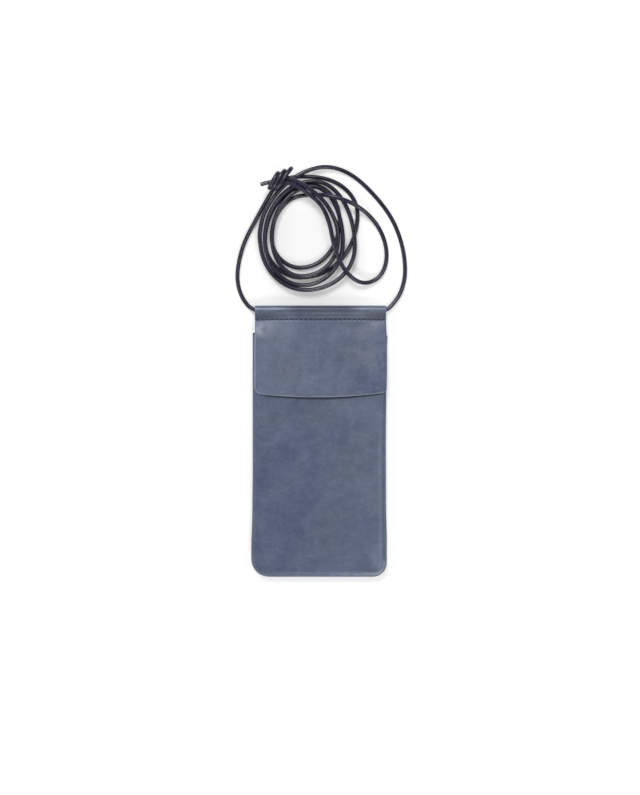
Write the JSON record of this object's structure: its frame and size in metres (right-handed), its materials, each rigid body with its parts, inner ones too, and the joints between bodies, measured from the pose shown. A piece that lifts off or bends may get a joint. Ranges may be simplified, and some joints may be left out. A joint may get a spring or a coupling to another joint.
{
  "type": "phone pouch",
  "caption": "Slim leather phone pouch with a turned-seam pocket, a front flap and a round neck cord that runs through a stitched tunnel along the top fold.",
  "frame": {"origin": "on the surface the pouch lies on, below the middle of the pouch without its free cord", "axes": "+Z out of the front of the pouch, +Y from its bottom edge to the cord tunnel, +X to the right of the front"},
  "size_m": [0.1209, 0.2888, 0.0165],
  "materials": {
    "hide": "smooth satin blue-grey hide",
    "thread": "dark polyester thread",
    "cord": "satin round leather cord"
  },
  "bodies": {
    "pouch": {"back_panel": "hide", "front_panel": "hide", "cord_tunnel": "hide", "tunnel_stitches": "thread", "seam_stitches": "thread", "cord_in_tunnel": "cord", "cord_left_stretch": "cord", "cord_left_coil": "cord", "cord_end_loop": "cord", "cord_right_stretch": "cord", "cord_right_coil": "cord", "cord_right_end": "cord", "cord_knot": "cord"},
    "flap": {"flap": "hide"}
  },
  "joints": [
    {"name": "flap_hinge", "type": "hinge", "parent": "pouch", "child": "flap", "pos_m": [0, 0.084, 0.0044], "axis": [-1, 0, 0], "range_deg": [0, 115]}
  ]
}
